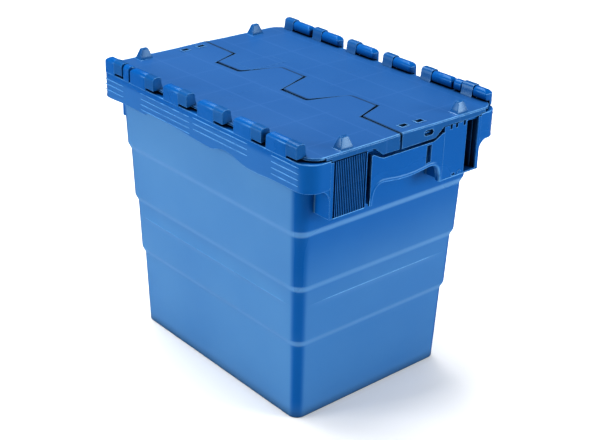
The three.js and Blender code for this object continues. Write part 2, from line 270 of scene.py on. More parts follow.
def arc(centre, radius, first, last, steps):
    # Points of an arc, centre + radius (cos a, sin a), for a in degrees from first to last.
    angle = np.radians(np.linspace(first, last, steps))
    return np.stack([centre[0] + radius * np.cos(angle), centre[1] + radius * np.sin(angle)], -1)


def smooth(t):
    # The soft step t t (3 - 2t), held at 0 and 1.
    t = np.clip(t, 0, 1)
    return t * t * (3 - 2 * t)


tubSettings = {
    "baseHalfX": 156.7, "sideInset": 37.0, "draft": 0.032, "jump": 2.72,
    "bands": (106.7, 181.8, 253.6), "bandHalf": 5.4,
    "wall": 2.8, "floor": 3.2, "baseCorner": 13.0, "cornerGrowth": 0.012,
    "footWidth": 14.0, "footRecess": 1.2, "baseEdge": 1.5,
    "rimTop": 349.3, "rimUnder": 346.3, "skirtBottom": 315.4, "skirt": 2.5,
    "rimHalfX": 199.8, "rimHalfY": 149.0, "rimCorner": 20.0,
    "cutHalf": 116.6, "cutX": 175.9, "cutTop": 346.2,
    "witness": 158.1, "witnessHeight": 0.5, "witnessWidth": 0.34,       # fine moulding line on the wall
    "rimEdge": 1.5, "waveTop": 332.0, "cutShrink": 0.012, "skirtFrom": 190.0,
    "floorRound": 5.0, "insideFrom": 12.0,
    "plainRows": (1.5, 25, 50, 75, 95, 130, 150, 210, 230, 280, 300, 320, 335),
    "skirtInRows": (345.2, 338, 330, 324, 319, 317),
    "skirtOutRows": (318.4, 320, 322, 325, 328, 332, 338, 344),
    # lower edge of the skirt along the long sides: x, and how far it lies above the corners
    "waveX": (-175, -150, -120, -102, -93, -64, -30, 0, 31, 45, 57, 70, 84, 98, 118, 134, 150, 178),
    "waveZ": (0, 1.5, 1.2, 0.8, 5.2, 5.6, 3.6, 1.8, 0.4, 4.6, 6.6, 5.4, 1.2, -1.6, -1.6, -0.2, 0.2, 0),
}


def wallHalf(z):
    # Half length of the outer wall: base + draft z, plus one jump for each soft band passed.
    s = tubSettings
    out = s["baseHalfX"] + s["draft"] * z
    for middle in s["bands"]:
        out = out + s["jump"] * smooth((z - middle + s["bandHalf"]) / (2 * s["bandHalf"]))
    return out


def tubProfile():
    # The tub's section as rows of half length, half width, corner radius and height: from the
    # middle of the underside out, up the wall, round the skirt, over the rim and down the inside.
    s = tubSettings
    bandRows = [m + s["bandHalf"] * np.linspace(-1, 1, 13) for m in s["bands"]]
    witnessRows = s["witness"] + np.array([-0.7, -0.35, 0, 0.35, 0.7])
    heights = np.sort(np.concatenate([s["plainRows"], witnessRows, *bandRows]))

    def wallRows(z, inward):
        halfX = wallHalf(z) - inward
        corner = s["baseCorner"] + s["cornerGrowth"] * z - inward
        return np.stack([halfX, halfX - s["sideInset"], np.maximum(corner, 2), z], -1)

    def baseRows(inward, z):
        inward, z = np.broadcast_arrays(np.asarray(inward, float), np.asarray(z, float))
        halfX = s["baseHalfX"] - inward
        return np.stack([halfX, halfX - s["sideInset"], np.maximum(s["baseCorner"] - inward, 4), z], -1)

    foot = baseRows(s["footWidth"] - np.array([0, 0.5, 0.8, 1.3]), [s["footRecess"], 0.9, 0.2, 0])
    a = np.radians(np.linspace(0, 80, 5))
    footEdge = baseRows(s["baseEdge"] * (1 - np.sin(a)), s["baseEdge"] * (1 - np.cos(a)))
    wall = wallRows(heights, 0)
    e = s["rimHalfX"] - s["rimHalfY"]

    def rimRows(halfX, z, corner):
        halfX, z, corner = np.broadcast_arrays(np.asarray(halfX, float), z, corner)
        return np.stack([halfX, halfX - e, corner, z], -1)

    inX = s["rimHalfX"] - s["skirt"]
    under = s["rimUnder"]
    fillet = wallRows(np.array([under - 2.2, under - 1.0]), 0)
    fillet[1, :2] += 0.5
    join = wallRows(np.array([under]), 0)
    join[:, :2] += 2.4
    skirtIn = rimRows(inX, s["skirtInRows"], s["rimCorner"] - s["skirt"])
    skirtIn = np.vstack([rimRows(inX - 1.0, under, s["rimCorner"] - s["skirt"] - 1.0), skirtIn])
    a = np.radians(np.linspace(180, 360, 9))
    r = s["skirt"] / 2
    bottom = rimRows(inX + r + r * np.cos(a), s["skirtBottom"] + r + r * np.sin(a), s["rimCorner"] - r)
    skirtOut = rimRows(s["rimHalfX"], s["skirtOutRows"], s["rimCorner"])
    a = np.radians(np.linspace(0, 90, 6))
    edge = s["rimEdge"]
    rim = rimRows(s["rimHalfX"] - edge * (1 - np.cos(a)), s["rimTop"] - edge * (1 - np.sin(a)),
                  s["rimCorner"])
    lip = wallRows(s["rimTop"] - np.array([0, 0.35, 1.2]), s["wall"])
    lip[:, :2] += np.array([1.2, 0.35, 0])[:, None]
    innerHeights = heights[(heights > s["insideFrom"]) & (np.abs(heights - s["witness"]) > 1)][::-1]
    inside = wallRows(innerHeights, s["wall"])
    a = np.radians(np.linspace(0, 90, 6))
    r = s["floorRound"]
    floorEdge = baseRows(s["wall"] - 0.25 + r * (1 - np.cos(a)), s["floor"] + r * (1 - np.sin(a)))
    floor = baseRows([20, 60], [s["floor"], s["floor"]])
    return np.vstack([foot, footEdge, wall[1:], fillet, join, skirtIn, bottom, skirtOut, rim, lip,
                      inside, floorEdge, floor])


def ringPath():
    # One turn round a rounded rectangle: c runs along its straight sides from corner to corner and
    # n is the outward direction, so a point is c (half size - radius) + n radius.
    longSide = np.linspace(-1, 1, 97)
    cut = tubSettings["cutHalf"] / (tubSettings["rimHalfY"] - tubSettings["rimCorner"])
    endSide = np.concatenate([[-1, -0.96, -cut - 0.002], np.linspace(-cut, cut, 21), [cut + 0.002, 0.96, 1]])
    angle = np.radians(np.linspace(0, 90, 11)[1:-1])
    ones = np.ones
    c = np.concatenate([
        np.stack([longSide, -ones(97)], -1),
        np.tile([1.0, -1.0], (9, 1)),
        np.stack([ones(len(endSide)), endSide], -1),
        np.tile([1.0, 1.0], (9, 1)),
    ])
    n = np.concatenate([
        np.tile([0.0, -1.0], (97, 1)),
        np.stack([np.sin(angle), -np.cos(angle)], -1),
        np.tile([1.0, 0.0], (len(endSide), 1)),
        np.stack([np.cos(angle), np.sin(angle)], -1),
    ])
    return np.concatenate([c, -c]), np.concatenate([n, -n])


def makeTubShell():
    # The profile carried round the path. The skirt's lower rows rise and fall with the wave on the
    # long sides, a fine moulding line stands out from the wall, and at each end, between the cuts,
    # the rim and skirt shrink into the top of the wall, where the grip housing takes over.
    s = tubSettings
    profile = tubProfile()
    c, n = ringPath()
    halfSize, radius, z = profile[:, :2], profile[:, 2], profile[:, 3]
    place = c[None] * (halfSize - radius[:, None])[:, None] + n[None] * radius[:, None, None]
    z = np.repeat(z[:, None], len(c), axis=1)
    x, y = place[..., 0], place[..., 1]
    onLongSide = np.abs(n[:, 1]) > 0.999
    isSkirt = (profile[:, 0] > s["skirtFrom"])[:, None]
    turned = np.sign(-n[:, 1]) * x
    wave = np.interp(turned, s["waveX"], s["waveZ"])
    reach = np.clip((s["waveTop"] - z) / (s["waveTop"] - s["skirtBottom"]), 0, 1)
    z = z + np.where(isSkirt & onLongSide[None], wave * reach, 0)
    line = np.exp(-((z - s["witness"]) / s["witnessWidth"]) ** 2) * s["witnessHeight"]
    outside = (np.arange(len(profile)) < np.argmax(profile[:, 0] > s["skirtFrom"]))[:, None]
    straight = np.where(onLongSide, 1 - np.abs(c[:, 0]) ** 12, 0.75 * (1 - np.abs(c[:, 1]) ** 6))
    straight = np.where(np.abs(np.abs(c) - 1).sum(1) < 1e-6, 0, straight)
    place = place + (outside * line * straight[None])[..., None] * n[None]
    x, y = place[..., 0], place[..., 1]
    rimY = np.abs(c[:, 1]) * (s["rimHalfY"] - s["rimCorner"])
    atEnd = (np.abs(n[:, 0]) > 0.999) & (rimY < s["cutHalf"] + 0.1)
    beyond = atEnd[None] & (np.abs(x) > s["cutX"])
    small = s["cutShrink"]
    x = np.where(beyond, np.sign(x) * (s["cutX"] + small * (np.abs(x) - s["cutX"])), x)
    z = np.where(beyond, s["cutTop"] - 0.5 + small * (z - s["skirtBottom"]), z)
    z = np.where(atEnd[None] & ~beyond, np.minimum(z, s["cutTop"]), z)
    points, faces = tube(np.stack([x, y, z], -1))
    # Painted highlight lines along the rim's outer edge and the skirt's lower edge, through the edge mask.
    onRim = (profile[:, 0] > s["rimHalfX"] - 1.4) & (np.abs(profile[:, 3] - s["rimTop"] + 0.6) < 0.5)
    onSkirtFoot = (profile[:, 0] > s["rimHalfX"] - 0.9) & (profile[:, 3] < s["skirtBottom"] + 0.9)
    highlightBias = np.repeat(0.6 * onRim + 0.45 * onSkirtFoot, len(c))
    putPiece("tubShell", points, faces, "tub", "tub_plastic", "tub", smoothTo=50, highlightBias=highlightBias)


print("tub shell")
makeTubShell()

ridgeSettings = {
    # x where it starts and ends, and the heights of its ridges
    "panels": (
        (-191, -147, (340, 333, 326)),
        (-110, -9, (342, 335, 328, 321.5)),
        (-3, 99, (343.5, 336.5, 329.5)),
        (139, 185, (344, 337, 330, 323)),
    ),
    # the last value is a painted highlight line along each ridge
    "height": 1.5, "proud": 0.58, "taper": 7.0, "paintedHighlight": 0.5,
}


def skirtRidge(x0, x1, z, reach):
    # A low rib on the skirt: a half round across, which thins to nothing at both ends like the
    # square root of the distance to the end.
    s = ridgeSettings
    t = np.concatenate([np.linspace(0, 0.08, 9), np.linspace(0.08, 0.92, 13)[1:-1], np.linspace(0.92, 1, 9)])
    x = x0 + (x1 - x0) * t
    taper = np.sqrt(np.clip(np.minimum(x - x0, x1 - x) / s["taper"], 0.002, 1))
    angle = np.radians(np.linspace(-90, 90, 7))
    across = np.concatenate([np.sin(angle), [0.5, -0.5]])
    out = np.concatenate([np.cos(angle), [-0.6, -0.6]])
    halfHeight = s["height"] / 2
    loops = np.stack([
        np.repeat(x[:, None], len(across), 1),
        -reach - s["proud"] * taper[:, None] * out[None],
        z + halfHeight * taper[:, None] * across[None],
    ], -1)
    return tube(loops)


print("skirt ridges")
ridges = [skirtRidge(x0, x1, z, tubSettings["rimHalfY"])
          for x0, x1, levels in ridgeSettings["panels"] for z in levels]
ridgePoints, ridgeFaces = gather(ridges)
for sideName, side in (("front", 1), ("rear", -1)):
    putPiece(f"{sideName}SkirtRidges", half(ridgePoints, side), ridgeFaces, "tub", "tub_plastic", "tub",
             highlightBias=ridgeSettings["paintedHighlight"])


gripSettings = {
    "face": 200.0, "bottom": 280.4, "top": 346.7, "halfWidth": 117.5, "root": 173.4,
    "faceThickness": 2.5, "web": 1.8, "strip": 5.0,
    "combStart": -112.5, "combEnd": -64.0, "combPitch": 2.55, "combRib": 1.1, "combDepth": 2.2,
    "labelStart": 56.3, "labelEnd": 93.5, "labelNotches": (67, 76, 89), "recessRib": 109.0,
    "pocket": (72.6, 78.4, 282.4, 285.2),
    "shelfEdge": 196.5, "shelf": 3.0, "edge": 0.75, "sill": 0.9,
    "handleWebs": (55.2, 56.8), "handleWebTop": 339.6, "clipMiddle": (85.5, 283.4), "clipRadius": 3.4,
}


def rectangle(a0, a1, b0, b1):
    return np.array([[a0, b0], [a1, b0], [a1, b1], [a0, b1]], float)


def aroundPoint(a, b, halfA, halfB):
    return rectangle(a - halfA, a + halfA, b - halfB, b + halfB)


def makeHousing(sideName, side):
    # Straight prisms: a shelf, two corner strips, a block of fine ribs, webs and two thin sills. The
    # small offsets sink one part into its neighbour, so that no two faces lie in one plane.
    s = gripSettings
    face, root, back = s["face"], s["root"], s["face"] - s["faceThickness"]
    z0, z1, w, t = s["bottom"], s["top"], s["halfWidth"], s["web"]

    def put(name, part, bevel=s["edge"], highlightBias=0.0, shade=0.0):
        points, faces = part
        putPiece(sideName + name, half(points, side), faces, "tub", "tub_plastic", "tub", bevel=bevel,
                 highlightBias=highlightBias, shade=shade)

    put("Shelf", prism(rectangle(root, s["shelfEdge"], 0.6 - w, w - 0.6), z1 - s["shelf"], z1, "z"))
    comb = s["combStart"]
    corner = [(root, -w), (face, -w), (face, comb), (back, comb), (back, t - w), (root, t - w)]
    put("RibSideStrip", prism(corner, z0, z1, "z"), 0.6)
    strip = w - s["strip"]
    corner = [(root, w), (root, w - t), (back, w - t), (back, strip), (face, strip), (face, w)]
    put("OpenSideStrip", prism(corner, z0, z1, "z"), 0.6)
    combBack = rectangle(back - s["combDepth"], face - s["combDepth"], comb - 2, s["combEnd"] - 0.4)
    put("RibBlockBack", prism(combBack, z0 + 0.3, z1 - 0.2, "z"), 0.2, -0.9)
    starts = np.arange(comb + s["combPitch"], s["combEnd"] - t - s["combRib"], s["combPitch"])
    ribs = [prism(rectangle(back - 0.6, face - 0.1, y, y + s["combRib"]), z0, z1, "z") for y in starts]
    put("RibBlockRibs", gather(ribs), 0.22, -0.75)
    put("RibBlockWeb", prism(rectangle(root, face, s["combEnd"] - t, s["combEnd"]), z0, z1, "z"))
    inner, outer = s["handleWebs"]
    for label, y0, y1 in (("HandleWebNear", -outer, -inner), ("HandleWebFar", inner, outer)):
        web = rectangle(root, face - 1.2, y0, y1)
        put(label, prism(web, z0 + 0.3, s["handleWebTop"], "z"), 0.3)
    # The label web and the recess rib get painted shade, as they sit deep in the recess.
    web = rectangle(root, back + 1, s["labelEnd"] - t, s["labelEnd"] - 0.2)
    put("LabelWeb", prism(web, z0 + 0.3, z1 - 0.3, "z"), shade=1.0)
    put("RecessFloor", prism(rectangle(root, face, s["labelEnd"] - 1, w - 1.2), z0, z0 + 2, "z"), 0.4)
    put("RecessRib", prism(rectangle(root, back - 4, s["recessRib"], s["recessRib"] + t), z0, z1 - 0.3, "z"),
        shade=0.9)
    # The sills get a painted highlight line along their edges.
    for label, y0, y1 in (("RibBlockSill", comb, s["combEnd"] - t), ("LabelSill", s["labelStart"], w)):
        sill = rectangle(back - 0.5, face, y0, y1)
        put(label, prism(sill, z0 - 0.1, z0 + s["sill"], "z"), 0.25, highlightBias=0.9)


def makeLabelField(sideName, side):
    # A flat field whose top edge has three notches, with a half-round clip over its lower edge and
    # a small pocket beside it.
    s = gripSettings
    z0, z1, x0 = s["bottom"], s["top"], s["face"] - s["faceThickness"]
    outline = [(s["labelStart"], z0), (s["labelEnd"], z0), (s["labelEnd"], z1)]
    for y in s["labelNotches"][::-1]:
        outline += [(y + 1.7, z1), (y + 1.5, z1 - 5), (y - 1.5, z1 - 5), (y - 1.7, z1)]
    outline.append((s["labelStart"], z1))
    points, faces = prism(outline, x0, s["face"] - 0.5, "x", rectangle(*s["pocket"]), ((0, 3), (1, 1)))
    putPiece(sideName + "LabelField", half(points, side), faces, "tub", "tub_plastic", "tub", bevel=0.7)
    (y, z), r = s["clipMiddle"], s["clipRadius"]
    clip = np.vstack([arc((y, z), r, 0, 180, 13), [(y - r, z - 2.2), (y + r, z - 2.2)]])
    points, faces = prism(clip, s["face"] - 1.5, s["face"], "x")
    putPiece(sideName + "LabelClip", half(points, side), faces, "tub", "tub_plastic", "tub", bevel=0.3)


handleSettings = {
    "top": 333.0, "paintedHighlight": 0.75, "lipIn": 193.0, "roll": 3.2, "thickness": 2.5, "beadIn": 0.7,
    "slot": (303.4, 330.4),             # heights; across it takes the first two columns of middleY
    # columns over the hand gap, and the outer edge of a leg from its foot up to the shoulder
    "middleY": (36.5, 33, 29, 25, 20, 14, 7),
    "legShare": (0, 0.3, 0.72, 0.78, 1),
    "legY": (57.0, 57.0, 57.0, 54.6, 39.0),
    "legZ": (279.8, 300.0, 340.2, 340.2, 332.2),
    # the hand gap's edge from the foot of the leg to the middle: y and z
    "gapY": (52.6, 52.3, 51.2, 49.6, 47.0, 43.6, 39.0, 33.0, 25.0, 14.0, 0.0),
    "gapZ": (279.8, 285.0, 291.0, 295.6, 299.4, 301.6, 302.4, 302.0, 300.9, 299.6, 299.1),
}


def makeHandle(sideName, side):
    # The handle is a slab. Its columns fan out from the hand gap's edge to the outer edge, its rows
    # start at the inner end of the lip, turn through a quarter circle and run up the face; the back
    # is the same surface moved in by the thickness. One block of cells is left out as a slot.
    s = handleSettings
    face = gripSettings["face"]
    slotLow, slotHigh = s["slot"]
    legSteps = np.linspace(0, 1, 15)
    gapIndex = np.arange(len(s["gapY"]))
    legY, legZ = (np.interp(6 * legSteps, gapIndex, s[key]) for key in ("gapY", "gapZ"))
    outerY, outerZ = (np.interp(legSteps, s["legShare"], s[key]) for key in ("legY", "legZ"))
    outerZ[-1] = s["top"]
    middleY = np.array(s["middleY"] + (0,) + tuple(-y for y in s["middleY"][::-1]))
    middleZ = np.interp(np.abs(middleY), s["gapY"][::-1], s["gapZ"][::-1])
    gap = np.stack([
        np.concatenate([legY, middleY, -legY[::-1]]),
        np.concatenate([legZ, middleZ, legZ[::-1]]),
    ], -1)
    outer = np.stack([
        np.concatenate([outerY, middleY, -outerY[::-1]]),
        np.concatenate([outerZ, np.full(len(middleY), s["top"]), outerZ[::-1]]),
    ], -1)
    along = np.gradient(gap, axis=0)
    normal = np.stack([-along[:, 1], along[:, 0]], -1)
    normal /= np.linalg.norm(normal, axis=1)[:, None]
    normal *= np.sign(np.einsum("ij,ij->i", normal, outer - gap))[:, None]
    a = np.radians(np.linspace(0, 90, 8))
    roll, t = s["roll"], s["thickness"]
    lipX = np.linspace(s["lipIn"], face - roll, 4)[:-1]
    bead, beadRun = s["beadIn"], roll + np.array([0.8, 1.7, 2.4])
    frontIn = np.concatenate([np.zeros(3), roll * (1 - np.cos(a)), beadRun])
    frontX = np.concatenate([lipX, face - roll * (1 - np.sin(a)), face - bead * np.array([0.12, 0.75, 1.0])])
    inner = roll - t
    backIn = np.concatenate([np.full(3, t), roll - inner * np.cos(a), beadRun])
    backX = np.concatenate([lipX, face - roll + inner * np.sin(a), np.full(3, face - t)])

    def slab(inward, x, faceX):
        rolled = gap[None] + inward[:, None, None] * normal[None]
        foot, top = rolled[-1], outer
        tall = np.maximum(top[:, 1] - foot[:, 1], 1)
        low = np.clip((slotLow - foot[:, 1]) / tall, 0.05, 0.3)
        high = np.clip((slotHigh - foot[:, 1]) / tall, 0.7, 0.95)
        share = np.stack([low * 0.5, low, (2 * low + high) / 3, (low + 2 * high) / 3, high,
                          (high + 1) / 2, np.full_like(low, 0.97), np.ones_like(low)])
        flat = foot[None] + share[..., None] * (top - foot)[None]
        rows = np.concatenate([rolled, flat])
        xs = np.concatenate([x, np.full(len(share), faceX)])
        return np.concatenate([np.repeat(xs[:, None, None], rows.shape[1], 1), rows], -1)

    front = slab(frontIn, frontX, face - bead)
    behind = slab(backIn, backX, face - t)
    rows, columns = front.shape[:2]
    keep = np.ones((rows - 1, columns - 1), bool)
    slotRow = len(frontIn) + 1
    firstSlotColumn = len(legY)
    keep[slotRow:slotRow + 3, firstSlotColumn:firstSlotColumn + 2] = False
    faces = sheetFaces(keep, rows * columns)
    points = np.concatenate([front.reshape(-1, 3), behind.reshape(-1, 3)])
    # painted highlight lines along the lip and the top edge of the handle, through the edge mask
    paintedHighlight = np.zeros(rows)                                        # light along the lip and the top edge
    paintedHighlight[3:11] = s["paintedHighlight"] * np.sin(np.radians(np.linspace(0, 180, 8)))
    paintedHighlight[-1] = s["paintedHighlight"]
    highlightBias = np.concatenate([np.repeat(paintedHighlight, columns), np.zeros(rows * columns)])
    putPiece(sideName + "Handle", half(points, side), faces, "tub", "tub_plastic", "tub", bevel=0.8,
             smoothTo=40, highlightBias=highlightBias)


gussetSettings = {
    "halfWidth": 117.5, "bottom": 300.5, "skirtBottom": 315.9, "reach": 13.5, "top": 318.5,
    "x0": 197.6, "x1": 199.5,
}


def makeGussets(sideName, side):
    # A hollow quarter round between the skirt's lower edge and the side of the housing.
    s = gussetSettings
    curve = arc((s["halfWidth"] + s["reach"], s["skirtBottom"] - s["reach"]), s["reach"], 180, 90, 9)
    root = s["halfWidth"] - 1
    outline = np.vstack([[(root, s["bottom"])], curve,
                         [(s["halfWidth"] + s["reach"], s["top"]), (root, s["top"])]])
    for label, flip in (("Far", 1), ("Near", -1)):
        points, faces = prism(outline * np.array([flip, 1]), s["x0"], s["x1"])
        putPiece(f"{sideName}Gusset{label}", half(points, side), faces, "tub", "tub_plastic", "tub",
                 bevel=0.35)


print("grip housings and handles")
for sideName, side in (("right", 1), ("left", -1)):
    makeHousing(sideName, side)
    makeLabelField(sideName, side)
    makeHandle(sideName, side)
    makeGussets(sideName, side)


hingeSettings = {
    "pinInset": 11.0, "pinReach": 12.0, "radius": 6.0, "heel": 7.9, "neck": 3.8,
    "ramp": 7.0, "drop": 7.0, "gap": 0.9, "stop": (-146.0, -134.0), "crown": 5.0,
    "heelArc": (-41, -88), "startRows": (0, 0.35, 0.9), "rampRows": (2, 14), "endRows": (-1.2, -0.4, 0),
    # how deep an end is drawn in, at these distances from the end
    "roundRun": (0, 0.4, 1.2), "roundDepth": (0.9, 0.3, 0),
    "padWidth": 18.0, "padOuter": -151.0, "padBottom": 353.0, "padTop": 369.4, "padFoot": -136.5,
    "footZ": 348.6,
}


def knuckleSection():
    # A half round head on the hinge axis whose inner face runs straight down to a larger round
    # heel, which the turning lid clears, on a straight neck at its outer side.
    s = hingeSettings
    head = arc((hingeY, hingeZ), s["radius"], 180, 0, 19)
    heel = arc((hingeY, hingeZ), s["heel"], *s["heelArc"], 7)
    outer, low = hingeY - s["radius"], hingeZ - s["heel"]
    neck = outer + s["neck"]
    return np.vstack([head, heel, [(neck + 0.5, low), (neck, low - 0.5), (neck, s["footZ"]),
                                   (outer, s["footZ"])]])


def knuckle(x0, x1, ramp):
    # The section carried along X. Its height is held under a soft ramp at the start, and over the
    # last millimetre of each end the section is drawn in towards the axis, so that it is rounded.
    s = hingeSettings
    section = knuckleSection()
    x = x0 + np.concatenate([s["startRows"], np.linspace(*s["rampRows"], 13)])
    x = np.concatenate([x[x < x1 - 1.5], x1 + np.array(s["endRows"])])
    top = hingeZ + s["radius"]
    rise = np.full(len(x), top)
    if ramp:
        rise = top - s["drop"] * (1 - smooth(0.5 + 0.5 * (x - x0) / s["ramp"]) ** 1.6)
    rounding = np.interp(np.minimum(x - x0, x1 - x), s["roundRun"], s["roundDepth"])
    centre = np.array([hingeY, hingeZ])
    towards = section - centre
    length = np.linalg.norm(towards, axis=1)[:, None]
    loops = centre + towards[None] * (1 - rounding[:, None, None] / np.maximum(length, 4)[None])
    z = np.minimum(loops[..., 1], (rise - rounding)[:, None])
    return tube(np.stack([np.repeat(x[:, None], len(section), 1), loops[..., 0], z], -1))


def padSection():
    # Outer wall, round crown, a shoulder past the hinge axis, then a nearly upright inner face.
    s = hingeSettings
    outer, r, top, foot = s["padOuter"], s["crown"], s["padTop"], s["padFoot"]
    shoulder = [(hingeY + 1.2, top), (hingeY + 3.4, top - 0.9), (hingeY + 4.8, top - 2.8)]
    inner = [(foot - 1.7, 362.0), (foot - 1.1, 358.0), (foot - 0.4, 355.4), (foot, 354.0)]
    return np.vstack([[(outer, s["padBottom"])], arc((outer + r, top - r), r, 180, 90, 8), shoulder,
                      inner, [(foot, s["padBottom"])]])


print("knuckles and pads")
hinges = []
for low, high in pinBoxes:
    hinges.append((float(low[0]) - hingeSettings["pinInset"], float(high[0]) - hingeSettings["pinReach"]))
for sideName, side in (("front", 1), ("rear", -1)):
    lidBody = sideName + "_lid"
    for number, (start, pad) in enumerate(hinges, 1):
        points, faces = knuckle(start, pad - hingeSettings["gap"], True)
        putPiece(f"{sideName}Knuckle{number}", half(points, side), faces, "tub", "tub_plastic", "tub",
                 smoothTo=45)
        points, faces = prism(padSection(), pad, pad + hingeSettings["padWidth"])
        putPiece(f"{sideName}Pad{number}", half(points, side), faces, lidBody, "lid_plastic", lidBody,
                 bevel=0.7, segments=3, smoothTo=40, highlightBias=-0.35)
    points, faces = knuckle(*hingeSettings["stop"], False)
    putPiece(f"{sideName}StopBlock", half(points, side), faces, "tub", "tub_plastic", "tub", smoothTo=45)

lidSettings = {
    "halfX": 198.0, "halfY": 142.6, "corner": 20.0, "top": 354.4, "thickness": 2.8,
    "crownStart": -40.0, "crownSlope": 0.018, "seamGap": 0.65, "bend": 4.0, "edge": 0.9,
    "seam": ((-198, 13.8), (-133.2, 12.2), (-118.8, -27), (-73.8, -25.8), (-54.7, 26.4), (-9.5, 26.2),
             (9.5, -26.2), (54.7, -26.4), (73.8, 25.8), (118.8, 27), (133.2, -12.2), (198, -13.8)),
    # corners of the seam that have a small round relief, its depth and its radius
    "reliefs": (1, 2, 5, 6, 9, 10), "reliefDepth": 1.5, "reliefRadius": 1.7,
    "slotLine": -183.0, "slotMiddles": (-5.0, -30.0), "slotSize": (7.0, 11.0), "slotLip": 1.3,
    "panelX": (68.0, 100.0), "panelY": (-46.0, 12.0), "panelProud": 0.25,
    "wideBends": (3, 4, 7, 8), "crownRound": 6.0,
    # ribs under the lid: their lines, half thickness, and depths of lower and upper edge
    "ribX": (-165, -99, -33, 33, 99, 165), "ribY": (-124, -80, -36), "ribHalf": 0.9, "ribDepth": (7.8, 2.5),
    # share of the run where the painted shade line along the seam starts, and how fast it darkens
    "shadeStart": 0.984, "shadeRun": 0.008,
    # the painted highlight line at both ends: where it starts, how fast it grows, how strong it is
    "paintedHighlightStart": 196.3, "paintedHighlightRun": 1.5, "paintedHighlight": 0.95,
}


def seamCurve():
    # The seam as a chain of straight runs joined by quadratic curves, one at each corner.
    s = lidSettings
    p = np.array(s["seam"], float)
    t = np.linspace(0, 1, 7)[:, None]
    parts = [p[:1]]
    for i in range(1, len(p) - 1):
        before = p[i - 1] - p[i]
        after = p[i + 1] - p[i]
        reach = s["bend"] if i in s["wideBends"] else 0.5 * s["bend"]
        a = p[i] + before / np.linalg.norm(before) * reach
        b = p[i] + after / np.linalg.norm(after) * reach
        parts.append((1 - t) ** 2 * a + 2 * t * (1 - t) * p[i] + t ** 2 * b)
    parts.append(p[-1:])
    curve = np.concatenate(parts)
    nearEnds = np.array([145, 160, 176, 180, 184, 188, 192, 196])
    besideSlot = s["slotLine"] + np.array([-4.5, -3.5, 2.5, 3.5, 4.5])
    extra = np.concatenate([besideSlot, nearEnds, -nearEnds[[0, 1, 2, 6, 7]], np.linspace(-110, 110, 23)])
    steps = np.concatenate([[0], np.cumsum(np.linalg.norm(np.diff(curve, axis=0), axis=1))])
    at = np.interp(extra, curve[:, 0], steps)
    along = np.unique(np.round(np.concatenate([steps, at]), 4))
    return np.stack([np.interp(along, steps, curve[:, k]) for k in (0, 1)], -1)


def lidHeight(y):
    # The crown: flat from the hinges to the crown line, then a steady rise to the free edge, which is
    # top + slope (run + the root of run squared + round squared) / 2.
    s = lidSettings
    run = y - s["crownStart"]
    return s["top"] + s["crownSlope"] * 0.5 * (run + np.sqrt(run ** 2 + s["crownRound"] ** 2))


def makeLidPlate(name, body, side):
    # A slab whose columns run from the hinge edge to the seam and whose rows share out that run:
    # point = back + t (seam - back). Cells inside the two tie slots are left out.
    s = lidSettings
    seam = seamCurve()
    tangent = np.gradient(seam, axis=0)
    tangent /= np.linalg.norm(tangent, axis=1)[:, None]
    inward = np.stack([tangent[:, 1], -tangent[:, 0]], -1)
    corners = np.array(s["seam"], float)[list(s["reliefs"])]
    distance = np.linalg.norm(seam[:, None] - corners[None], axis=-1).min(1)
    pull = s["seamGap"] + s["reliefDepth"] * np.exp(-(distance / s["reliefRadius"]) ** 2)
    edge = seam + inward * pull[:, None]
    x = np.clip(edge[:, 0], -s["halfX"], s["halfX"])
    over = np.clip(np.abs(x) - (s["halfX"] - s["corner"]), 0, s["corner"])
    backY = -s["halfY"] + s["corner"] - np.sqrt(np.maximum(s["corner"] ** 2 - over ** 2, 0))
    back = np.stack([x, backY], -1)
    edge[:, 0] = x
    slotX, slotY = s["slotSize"]
    column = np.argmin(np.abs(x - s["slotLine"]))
    run = edge[column, 1] - back[column, 1]
    marks = np.add.outer(s["slotMiddles"], [-slotY / 2, slotY / 2]).ravel()
    marks = (marks - back[column, 1]) / run
    nearSeam = s["shadeStart"] + s["shadeRun"] * np.arange(3)
    t = np.concatenate([np.linspace(0, 0.6, 10), np.linspace(0.64, 0.97, 11), marks, nearSeam])
    t = np.unique(np.round(t, 5))
    grid = back[None] + t[:, None, None] * (edge - back)[None]
    z = lidHeight(grid[..., 1])
    top = np.concatenate([grid, z[..., None]], -1)
    under = top - np.array([0, 0, s["thickness"]])
    rows, columns = z.shape
    centre = (grid[:-1, :-1] + grid[1:, 1:] + grid[:-1, 1:] + grid[1:, :-1]) / 4
    keep = np.ones((rows - 1, columns - 1), bool)
    tMiddle = (t[:-1] + t[1:]) / 2
    for slotMiddle in s["slotMiddles"]:
        low, high = (slotMiddle + np.array([-0.5, 0.5]) * slotY - back[column, 1]) / run
        inX = np.abs(centre[..., 0] - s["slotLine"]) < slotX / 2
        keep &= ~(inX & ((tMiddle > low) & (tMiddle < high))[:, None])
    faces = sheetFaces(keep, rows * columns)
    points = np.concatenate([top.reshape(-1, 3), under.reshape(-1, 3)])
    # Painted highlight along both ends of the top, and painted shade along the seam edge.
    paintedHighlight = s["paintedHighlight"] * smooth((np.abs(x) - s["paintedHighlightStart"]) / s["paintedHighlightRun"])
    highlightBias = np.concatenate([np.tile(paintedHighlight, rows), np.zeros(rows * columns)])
    shade = np.repeat(smooth((t - s["shadeStart"]) / s["shadeRun"]), columns)
    putPiece(name, half(points, side), faces, body, "lid_plastic", body, bevel=s["edge"], smoothTo=40,
             highlightBias=highlightBias, shade=np.tile(shade, 2))


flangeSettings = {
    "outer": 199.7, "thickness": 2.5, "top": 353.8, "bottom": 347.5, "deep": 337.0, "deepHalf": 41.0,
    "slant": 13.0, "back": -123.6,
    "start": -115.8, "rest": 350.1, "seamPlus": -15.4, "seamMinus": 12.2,
    "holeY": -29.5, "holeZ": 346.3, "holeLength": 15.0, "holeHeight": 7.0,
}


